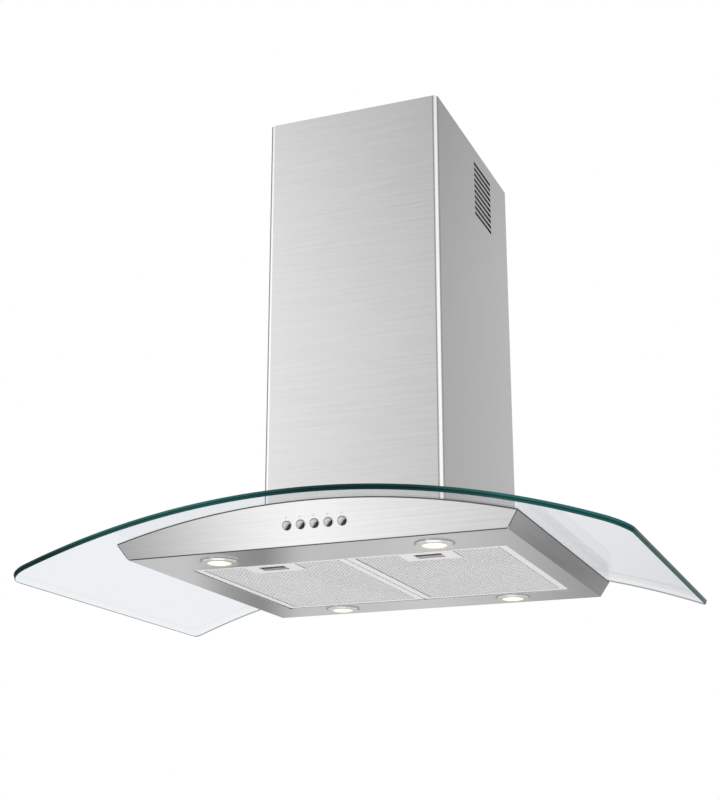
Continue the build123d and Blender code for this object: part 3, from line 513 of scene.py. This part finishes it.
def glassSheet(inset):
    # Rows run from each column's front end to its middle, and beside the notch on to its rear end:
    # start + (end - start) t. The loop goes once round the outline and the notch.
    s, front, middleEnd, rear, split = glassPlan(inset)
    count = len(s)
    share = np.linspace(0, 1, glass["rows"])[:, None]
    alongFront = front + (middleEnd - front) * share
    flat = [np.stack([np.broadcast_to(s, alongFront.shape), alongFront], axis=-1).reshape(-1, 2)]
    frontIndex = np.arange(glass["rows"] * count).reshape(-1, count)
    start = frontIndex.size
    half = count // 2
    wings = []
    for columns in (slice(0, half - split + 1), slice(half + split, count)):
        alongRear = middleEnd[columns] + (rear[columns] - middleEnd[columns]) * share[1:]
        acrossRear = np.broadcast_to(s[columns], alongRear.shape)
        flat.append(np.stack([acrossRear, alongRear], axis=-1).reshape(-1, 2))
        index = start + np.arange(alongRear.size).reshape(alongRear.shape)
        wings.append(np.concatenate([frontIndex[-1:, columns], index]))
        start += alongRear.size
    left, right = wings
    loop = np.concatenate([
        frontIndex[0], frontIndex[1:, -1], right[1:, -1], right[-1, -2::-1], right[-2:0:-1, 0],
        frontIndex[-1, half + split:half - split - 1:-1],
        left[1:, -1], left[-1, -2::-1], left[-2:0:-1, 0], frontIndex[-1:0:-1, 0],
    ])
    return np.concatenate(flat), [frontIndex, left, right], loop


def onArch(flat, height):
    # Distance along the arc s and height h above the lower face: ((r + h) sin t, y, c + (r + h) cos t).
    turn = flat[:, 0] / (glass["radius"] + glass["thickness"])
    reach = glass["radius"] + height
    centre = glass["archRise"] - glass["radius"]
    return np.stack([reach * np.sin(turn), flat[:, 1], centre + reach * np.cos(turn)], axis=-1)


def glassPanel():
    # Two faces, moved in by the bevel, and strips that join their outlines round the edge.
    face, grids, loop = glassSheet(glass["bevel"])
    wall = glassSheet(0)[0][loop]
    count = len(face)
    heights = (glass["bevel"], glass["lineTo"], glass["highlightFrom"], glass["thickness"] - glass["bevel"])
    points = [onArch(face, glass["thickness"]), onArch(face, 0)] + [onArch(wall, h) for h in heights]
    faces = np.concatenate([gridFaces(grid) for grid in grids])
    allFaces = [faces, faces[:, ::-1] + count]
    finishOrder = list(glassFinishes)
    kinds = [np.full(2 * len(faces), finishOrder.index("face"))]
    walls = [2 * count + k * len(loop) + np.arange(len(loop)) for k in range(len(heights))]
    rings = [loop + count, *walls, loop]
    for strip, below, above in zip(glass["strips"], rings, rings[1:]):
        allFaces.append(ringFaces(np.stack([below, above])))
        kinds.append(np.full(len(loop), finishOrder.index(strip)))
    return np.concatenate(points), np.concatenate(allFaces), np.concatenate(kinds)


glassPoints, glassFaces, glassKinds = glassPanel()
canopy = makePiece(
    "glassCanopy", glassPoints, glassFaces, "hood", list(glassFinishes.values()), glassKinds
)
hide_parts("canopy_glass")
print("glass made")


button = {
    "count": 5, "pitch": 20.4, "rowMiddle": 11.5, "height": 29.0, "radius": 5.9, "skirt": -6.0,
    "shoulder": 1.0, "crown": 5.0, "stemRadius": 3.5, "stemEnd": -20.0, "sides": 40, "domeSteps": 12,
    "shadow": 6.7, "shadowFade": 0.3,
    "markHeight": 40.0, "markRadius": 1.5, "markLine": 0.45, "markThickness": 0.05, "markSides": 24,
}


def onPanel(points, x, height):
    # From a button's own axes to the leaning front panel: x, up the panel, out of the panel.
    lean = body["frontLean"]
    up = np.array([0, -math.sin(lean), math.cos(lean)])
    out = np.array([0, -math.cos(lean), -math.sin(lean)])
    foot = np.array([x, -body["depth"], 0]) + height * up
    return foot + points[:, :1] * (1, 0, 0) + points[:, 1:2] * up + points[:, 2:] * out


def paintedReflectionChrome(name, finish):
    # Painted reflection and shade: the tone goes by where the dome looks, t = normal . toShade, as a bright
    # and a dark side of a room would show in it, so that the side facing right and down is painted near
    # black.
    material, tree, surface = startMaterial(name)
    shade = addNode(tree, "VectorMath", {"operation": "DOT_PRODUCT"})
    joined(tree, shade, coordinate(tree, "Normal"), finish["toShade"])
    grain = noiseOf(tree, finish["grain"])
    mixed = weighted(
        tree, (shade.outputs["Value"], finish["shadeShare"]), (grain, finish["grainShare"]),
        (finish["middle"], 1.0),
    )
    coated(tree, surface, finish, tones(tree, mixed, finish["stops"]), grain)
    return material


def bezelFinish(name, finish):
    # Steel like the panel, with a dark ring round each button, for its black bezel and painted shade in the
    # gap round it:
    # sqrt(x^2 + (h - height)^2) < shadow, where x is wrapped to the pitch of the row.
    material, tree, surface = startMaterial(name)
    x, height = panelPlace(tree)
    step = button["pitch"] / 1000
    wrapped = addNode(tree, "Math", {"operation": "WRAP"}, {1: step / 2, 2: -step / 2})
    away = joined(tree, wrapped, weighted(tree, (x, 1.0), (-button["rowMiddle"] / 1000, 1.0)))
    up = weighted(tree, (height, 1.0), (-button["height"] / 1000, 1.0))
    upSquare, awaySquare = (mathOf(tree, "POWER", mathOf(tree, "ABSOLUTE", leg), 2.0) for leg in (up, away))
    radius = mathOf(tree, "SQRT", mathOf(tree, "ADD", upSquare, awaySquare))
    ringFade = [(button["shadow"] + side * button["shadowFade"]) / 1000 for side in (-1, 1)]
    streaks = streaksOf(tree, finish["streak"])
    steel = darkToPale(tree, streaks, finish)
    colour = covered(tree, ranged(tree, radius, 1, 0, *ringFade), steel, finish["ring"])
    coated(tree, surface, finish, colour, streaks)
    return material


def buttonProfile():
    # Stem, skirt and a domed crown: (radius cos a, shoulder + (crown - shoulder) sin a).
    turn = np.linspace(0, math.pi / 2, button["domeSteps"])
    rise = button["crown"] - button["shoulder"]
    dome = np.stack([button["radius"] * np.cos(turn), button["shoulder"] + rise * np.sin(turn)], axis=-1)
    low = [
        (0, button["stemEnd"]), (button["stemRadius"], button["stemEnd"]),
        (button["stemRadius"], button["skirt"]), (button["radius"], button["skirt"]),
    ]
    return np.concatenate([low, dome])


def markProfile():
    # A flat printed ring.
    inner, outer = button["markRadius"] - button["markLine"], button["markRadius"]
    top = button["markThickness"]
    return [(inner, 0), (outer, 0), (outer, top), (inner, top), (inner, 0)]


buttonChrome = paintedReflectionChrome("buttonChrome", {
    "toShade": (0.72, 0.0, -0.69), "shadeShare": 0.5, "grain": 260, "grainShare": 0.04, "middle": 0.48,
    "metallic": 0.2, "roughness": (0.22, 0.3),
    "stops": [
        (0.04, 0.05), (0.16, 0.30), (0.27, 0.80), (0.60, 0.66), (0.70, 0.36), (0.77, 0.02), (1.0, 0.008),
    ],
})
# the dark ring round each button: black bezel and painted shade in its gap
bezelSteel = bezelFinish("bezelSteel", {
    "streak": (9, 300, 300), "dark": 0.59, "pale": 0.65, "ring": 0.03, "roughness": (0.11, 0.14),
    "metallic": 1.0,
})
markInk = grainy("markInk", {"grain": 900, "dark": 0.5, "pale": 0.58, "roughness": (0.5, 0.6)})
for number in range(button["count"]):
    buttonX = button["rowMiddle"] + (number - (button["count"] - 1) / 2) * button["pitch"]
    nodeName = f"button_{number + 1}"
    capPoints, capFaces = lathe(buttonProfile(), button["sides"])
    placed = onPanel(capPoints, buttonX, button["height"])
    cap = makePiece(f"pushButton_{number + 1}", placed, capFaces, nodeName, [buttonChrome])
    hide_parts(nodeName)
    markPoints, markFaces = lathe(markProfile(), button["markSides"])
    placed = onPanel(markPoints, buttonX, button["markHeight"])
    makePiece(f"buttonMark_{number + 1}", placed, markFaces, "hood", [markInk])
print("buttons made")


lamp = {
    "lensRadius": 17.4, "drop": 3.4, "recess": 0.2, "domeRise": 0.7, "domeSteps": 10,
    "rim": 23.35, "seat": 1.8, "rimThickness": 1, "sides": 48,
    "glow": 0.75, "roughness": 0.25,
    "stops": [
        (0.0, (1.0, 0.99, 0.95)), (0.74, (1.0, 0.98, 0.90)), (0.87, (1.0, 0.88, 0.56)),
        (0.95, (0.92, 0.70, 0.34)), (1.0, (0.70, 0.54, 0.32)),
    ],
}


def lensProfile():
    # A shallow dome, h = a + b t^4, below a flat back with a thin rim that lies on the ring's ledge.
    turn = np.linspace(0, 1, lamp["domeSteps"])
    height = -lamp["drop"] + lamp["recess"] + lamp["domeRise"] * turn**4
    top = -lamp["seat"] + lamp["rimThickness"]
    back = [(lamp["lensRadius"], -lamp["seat"]), (lamp["rim"], -lamp["seat"]), (lamp["rim"], top), (0, top)]
    return np.concatenate([np.stack([lamp["lensRadius"] * turn, height], axis=-1), back])


def glowingLens(name):
    # Bright warm white in the middle, a thin yellow band at the rim, by the lens's own radius.
    material, tree, surface = startMaterial(name)
    source = addNode(tree, "UVMap", {"uv_map": "across"})
    glow = tones(tree, axesOf(tree, source.outputs["UV"])["X"], lamp["stops"])
    tree.links.new(glow, surface.inputs["Base Color"])
    tree.links.new(glow, surface.inputs["Emission Color"])
    surface.inputs["Emission Strength"].default_value = lamp["glow"]
    surface.inputs["Roughness"].default_value = lamp["roughness"]
    return material


lensGlow = glowingLens("litLampGlass")
for corner in ("front_left", "front_right", "rear_left", "rear_right"):
    lensPoints, lensFaces = lathe(lensProfile(), lamp["sides"])
    lensRadius = np.hypot(lensPoints[:, 0], lensPoints[:, 1]) / lamp["lensRadius"]
    lensUv = np.stack([np.clip(lensRadius, 0, 1), np.zeros(len(lensRadius))], axis=-1)
    lampLow, lampHigh = boxOf(f"lamp_lens_{corner}")
    placed = lensPoints + (lampLow + lampHigh) / 2 * (1, 1, 0)
    lens = makePiece(f"lampLens_{corner}", placed, lensFaces, "hood", [lensGlow], uv=lensUv)
    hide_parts(f"lamp_lens_{corner}")
print("lamps made")


strand = {
    "cell": (3.2, 4.8), "width": 1.5, "height": 0.7, "low": 1.45, "weave": 0.12, "hidden": 10.9,
    "plateMargin": 2,
}
backing = {
    "hidden": 9.9, "shadowLine": 1.5, "shadowTone": 0.02, "past": 1,
    "grain": 420, "dark": 0.29, "pale": 0.42, "roughness": (0.4, 0.6), "bump": 0.4,
}


def meshStrands(side):
    # One short three-sided bar in each cell of a lattice, along one diagonal or the other in turn,
    # so that the bars close into diamonds. Cells above the latch's plate stay empty.
    low, high = boxOf(f"filter_mesh_{side}")
    plateLow, plateHigh = boxOf(f"latch_plate_{side}")
    step = np.array(strand["cell"])
    room = (high - low)[:2] - 2 * strand["hidden"]
    counts = room // step
    i, j = (cell.ravel() for cell in np.meshgrid(np.arange(counts[0]), np.arange(counts[1])))
    corner = low[:2] + strand["hidden"] + (room - counts * step) / 2 + np.stack([i, j], axis=-1) * step
    middle = corner + step / 2
    margin = strand["plateMargin"]
    overPlate = np.all((middle > plateLow[:2] + margin) & (middle < plateHigh[:2] - margin), axis=1)
    i, j, corner = i[~overPlate], j[~overPlate], corner[~overPlate]
    rising = (i + j) % 2 == 0
    left, right = corner[:, 0], corner[:, 0] + step[0]
    front, rear = corner[:, 1], corner[:, 1] + step[1]
    nearEnd = np.stack([left, np.where(rising, front, rear)], axis=-1)
    farEnd = np.stack([right, np.where(rising, rear, front)], axis=-1)
    along = (farEnd - nearEnd) / np.linalg.norm(step)
    across = np.stack([-along[:, 1], along[:, 0]], axis=-1) * strand["width"] / 2
    lift = np.where(i % 2 == 0, strand["weave"], -strand["weave"])
    corners = []
    for end, tilt in ((nearEnd, lift), (farEnd, -lift)):
        bottom = strand["low"] + tilt
        top = bottom + strand["height"]
        for offset, height in ((0 * across, bottom), (across, top), (-across, top)):
            corners.append(np.column_stack([end + offset, height]))
    points = np.stack(corners, axis=1).reshape(-1, 3)
    first = 6 * np.arange(len(i))[:, None]
    bars = [first + quad for quad in ([0, 1, 4, 3], [1, 2, 5, 4], [2, 0, 3, 5])]
    return points, np.concatenate(bars)


def litBox(side):
    # The mesh's solid but for a line of shadow along the frame's left and rear edges. The box
    # reaches past the solid on the other sides.
    low, high = boxOf(f"filter_mesh_{side}")
    hidden, line, past = backing["hidden"], backing["shadowLine"], backing["past"]
    return low + (hidden + line, -hidden, -past), high + (hidden, -hidden - line, past)


strandAluminium = grainy("strandAluminium", {
    "grain": 300, "dark": 0.86, "pale": 0.95, "roughness": (0.3, 0.42), "metallic": 0.2,
})
meshBackings = {}
for side in ("left", "right"):
    lit = (litBox(side), backing["shadowTone"])
    meshBackings[side] = grainy(f"filterBacking_{side}", {**backing, "lit": lit})
    netPoints, netFaces = meshStrands(side)
    rides = f"filter_{side}"
    makePiece(f"filterNet_{side}", netPoints, netFaces, rides, [strandAluminium])
print("filter nets made")


# every node's finish, by the start of its name
finishOf = {
    "front_panel": panelSteel, "bottom_pan": panSteel, "side_panel": sideSteel,
    "back_panel": galvanised, "top_plate": galvanised, "glass_gasket": gasketRubber,
    "glass_grommets": gasketRubber, "glass_bolts": brightSteel, "switch_housing": blackPlastic,
    "button_bezels": bezelSteel, "lamp_ring": ringSteel, "lamp_cup": galvanised,
    "lamp_bulbs": whitePlastic, "lamp_transformer": blackPlastic, "filter_frame": frameAluminium,
    "filter_mesh_left": meshBackings["left"], "filter_mesh_right": meshBackings["right"],
    "latch_plate": frameAluminium, "filter_latch": latchSteel, "chimney_cover": chimneySteel,
    "inner_cover": innerSteel, "cover_bracket": galvanised, "cover_screws": brightSteel,
    "ceiling_bracket": galvanised, "bracket_screws": brightSteel, "blower_box": galvanised,
    "hanging_plate": galvanised, "volute": blackPlastic, "impeller": greyPlastic,
    "motor": motorPaint, "motor_shaft": brightSteel, "motor_bracket": galvanised,
    "outlet_collar": greyPlastic, "collar_screws": brightSteel, "damper_flap": greyPlastic,
    "damper_pin": brightSteel, "terminal_box": whitePlastic, "cable_gland": blackPlastic,
    "capacitor": whitePlastic,
    # pieces above stand for these, so that their finish isn't seen
    "lamp_lens": whitePlastic, "button": buttonChrome, "canopy_glass": whitePlastic,
}
for nodeName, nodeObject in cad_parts.items():
    family = max((key for key in finishOf if nodeName.startswith(key)), key=len)
    if not nodeObject.material_slots:
        nodeObject.data.materials.append(finishOf[family])
    for materialSlot in nodeObject.material_slots:
        materialSlot.material = finishOf[family]
print("solids dressed")


# floor, world and lamps of the studio
studio = {
    "floorHeight": -2.4, "floorRadius": 6.0, "floorSides": 64, "floorGlow": 0.75, "floorRoughness": 0.9,
    "floorCloud": 1.5, "floorTones": {"dark": 0.86, "pale": 0.89},
    "aim": (0, -0.25, 0.1),
    "boxes": {
        "topBox": {"place": (-0.4, -0.9, 3.6), "size": (2.4, 2.4), "watts": 12.0},
        "lowBox": {"place": (0.4, -1.8, -2.2), "size": (3.0, 3.0), "watts": 18.0},
    },
}


def seenDirectly(tree):
    # 1 for rays that look straight or through glass, and 0 for the light itself; and the path node.
    path = addNode(tree, "LightPath")
    seen = mathOf(tree, "MAXIMUM", path.outputs["Is Camera Ray"], path.outputs["Is Transmission Ray"])
    return seen, path


# a disc, (r cos a, r sin a), that mirrors see too
ring = np.linspace(0, 2 * math.pi, studio["floorSides"], endpoint=False)
floorX, floorY = studio["floorRadius"] * np.cos(ring), studio["floorRadius"] * np.sin(ring)
floorPoints = np.column_stack([floorX, floorY, np.full(len(ring), studio["floorHeight"])])
floorMesh = bpy.data.meshes.new("floor")
floorMesh.from_pydata(floorPoints.tolist(), [], [list(range(len(ring)))])
floorMaterial, floorTree, floorSurface = startMaterial("paleFloor")
floorColour = darkToPale(floorTree, noiseOf(floorTree, studio["floorCloud"]), studio["floorTones"])
floorTree.links.new(floorColour, floorSurface.inputs["Base Color"])
floorSurface.inputs["Roughness"].default_value = studio["floorRoughness"]
floorSeen, floorPath = seenDirectly(floorTree)
floorSeen = mathOf(floorTree, "MAXIMUM", floorSeen, floorPath.outputs["Is Glossy Ray"])
floorShare = mathOf(floorTree, "MULTIPLY", floorSeen, studio["floorGlow"])
floorGlow = addNode(floorTree, "Emission", None, {"Color": (1, 1, 1, 1), "Strength": 1.0})
floorJoin = joined(
    floorTree, addNode(floorTree, "MixShader"), floorShare, floorSurface.outputs[0], floorGlow.outputs[0]
)
floorTree.links.new(floorJoin, floorTree.nodes["Material Output"].inputs["Surface"])
floorMesh.materials.append(floorMaterial)
floor = bpy.data.objects.new("floor", floorMesh)
scene.collection.objects.link(floor)

# the world is plain for soft light, white where it is looked at, and in mirrors a ring of soft
# screens and flags, by their bearing in degrees from the front, seen low and high
sky = {
    "diffuse": 0.78, "half": 2.0, "lowEnd": -0.15, "highEnd": 0.22, "fadeFrom": 0.38, "fadeTo": 0.6,
    "faded": 0.62,
    "low": [
        (-180, 0.3), (-167, 0.42), (-164.5, 0.60), (-161, 0.78), (-158.5, 0.68), (-156, 0.72), (-154.1, 0.10),
        (-152.4, 0.76), (-135, 0.5), (-36, 0.45), (-31, 0.56), (-27.3, 1.28), (-24.7, 1.66), (-20.8, 1.26),
        (-16.5, 0.98), (0, 0.55), (140, 0.5), (161, 0.62), (164.4, 0.15), (167, 0.5), (175, 0.26),
        (180, 0.3),
    ],
    "high": [
        (-180, 0.85), (-150, 0.40), (-86, 0.35), (-72, 1.5), (-45, 1.9), (-33, 1.55), (-27, 1.38),
        (-18.3, 0.84), (-2, 0.5), (8, 0.5), (28, 1.6), (82, 1.6), (105, 0.5), (158, 0.48), (162.2, 0.53),
        (165, 0.80), (180, 0.85),
    ],
}
world = bpy.data.worlds.new("studioWorld")
scene.world = world
world.use_nodes = True
worldTree = world.node_tree
worldX, worldY, worldZ = axesOf(worldTree, coordinate(worldTree, "Generated"))
toFront = mathOf(worldTree, "MULTIPLY", worldY, -1.0)
bearing = ranged(worldTree, mathOf(worldTree, "ARCTAN2", worldX, toFront), 0, 1, -math.pi, math.pi)
lowRing, highRing = (
    tones(worldTree, bearing, [(turn / 360 + 0.5, level / sky["half"]) for turn, level in sky[height]])
    for height in ("low", "high")
)
upward = ranged(worldTree, worldZ, 0, 1, sky["lowEnd"], sky["highEnd"])
ringLevel = covered(worldTree, upward, lowRing, highRing)
worldFade = ranged(worldTree, worldZ, sky["half"], sky["half"] * sky["faded"], sky["fadeFrom"], sky["fadeTo"])
worldLevel = mathOf(worldTree, "MULTIPLY", ringLevel, worldFade)
worldSeen, worldPath = seenDirectly(worldTree)
isDiffuse = worldPath.outputs["Is Diffuse Ray"]
softLevel = joined(worldTree, addNode(worldTree, "Mix"), isDiffuse, None, worldLevel, sky["diffuse"])
softLight = worldTree.nodes["Background"]
softLight.inputs["Color"].default_value = (1, 1, 1, 1)
worldTree.links.new(softLevel, softLight.inputs["Strength"])
whiteBack = addNode(worldTree, "Background", None, {"Color": (1, 1, 1, 1), "Strength": 1.0})
worldJoin = joined(
    worldTree, addNode(worldTree, "MixShader"), worldSeen, softLight.outputs[0], whiteBack.outputs[0]
)
worldTree.links.new(worldJoin, worldTree.nodes["World Output"].inputs["Surface"])

for boxName, softBox in studio["boxes"].items():
    lightData = bpy.data.lights.new(boxName, "AREA")
    lightData.shape = "RECTANGLE"
    lightData.size, lightData.size_y = softBox["size"]
    lightData.energy = softBox["watts"]
    light = bpy.data.objects.new(boxName, lightData)
    light.location = softBox["place"]
    toHood = Vector(studio["aim"]) - light.location
    light.rotation_euler = toHood.to_track_quat("-Z", "Y").to_euler()
    light.visible_camera = False
    scene.collection.objects.link(light)
print("studio made")
